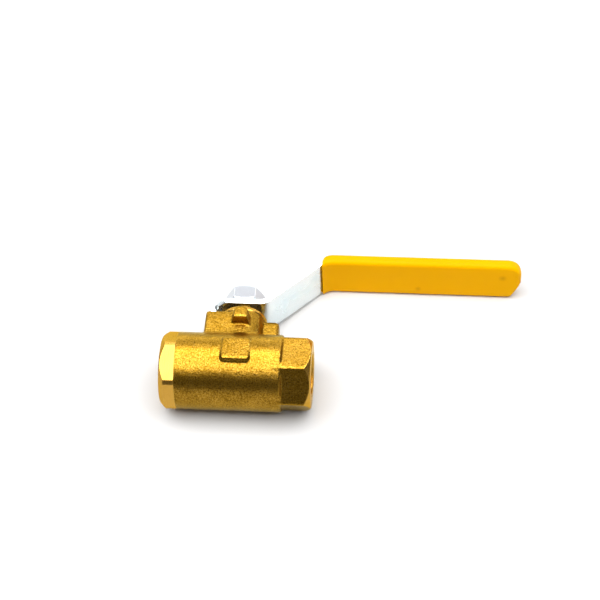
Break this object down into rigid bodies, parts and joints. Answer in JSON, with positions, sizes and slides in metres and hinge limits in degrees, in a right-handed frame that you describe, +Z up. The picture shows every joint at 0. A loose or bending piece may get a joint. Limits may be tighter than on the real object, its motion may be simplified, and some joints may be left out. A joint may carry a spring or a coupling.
{
  "type": "gas ball valve",
  "caption": "Small brass ball valve for gas pipe, female threads at both ends, quarter-turn cranked steel lever with a yellow vinyl grip, lying on its back with the lever open.",
  "frame": {"origin": "centre of the inlet face, on the flow axis; the stem axis crosses it 22.5 mm further along +X", "axes": "+X along the flow way from the end cap to the outlet hexagon and along the open lever, +Y the way the stem points, 6.2 degrees down from level, +Z up from the table that the valve lies on"},
  "size_m": [0.1077, 0.0554, 0.0241],
  "materials": {
    "body_brass": "forged and shot-blasted, fine sandy grain",
    "cap_brass": "machined bright",
    "stem_brass": "turned",
    "ball_chrome": "polished chrome plate",
    "ptfe": "white PTFE",
    "nbr": "black nitrile rubber",
    "fibre": "compressed green sealing fibre",
    "zinc_steel": "bright zinc plate on sheet steel",
    "zinc_hardware": "bright zinc plate",
    "yellow_vinyl": "glossy dipped vinyl"
  },
  "bodies": {
    "body": {"valve_body": "body_brass", "end_cap": "cap_brass", "end_cap_seal": "fibre", "inlet_seat": "ptfe", "outlet_seat": "ptfe", "inlet_seat_ring": "nbr", "outlet_seat_ring": "nbr", "stem_thrust_washer": "ptfe", "stem_packing": "ptfe", "gland_nut": "stem_brass"},
    "handle": {"stem": "stem_brass", "stem_o_ring_lower": "nbr", "stem_o_ring_upper": "nbr", "handle_lever": "zinc_steel", "grip_sleeve": "yellow_vinyl", "spring_washer": "zinc_hardware", "handle_nut": "zinc_hardware"},
    "ball_group": {"ball": "ball_chrome"}
  },
  "joints": [
    {"name": "handle_turn", "type": "hinge", "parent": "body", "child": "handle", "pos_m": [0.0225, 0, 0], "axis": [0, -0.9941, 0.1083], "range_deg": [0, 90]},
    {"name": "ball_turn", "type": "hinge", "parent": "body", "child": "ball_group", "pos_m": [0.0225, 0, 0], "axis": [0, -0.9941, 0.1083], "range_deg": [0, 90]}
  ],
  "couplings": [
    {"joint": "ball_turn", "follows": "handle_turn", "ratio": 1}
  ]
}
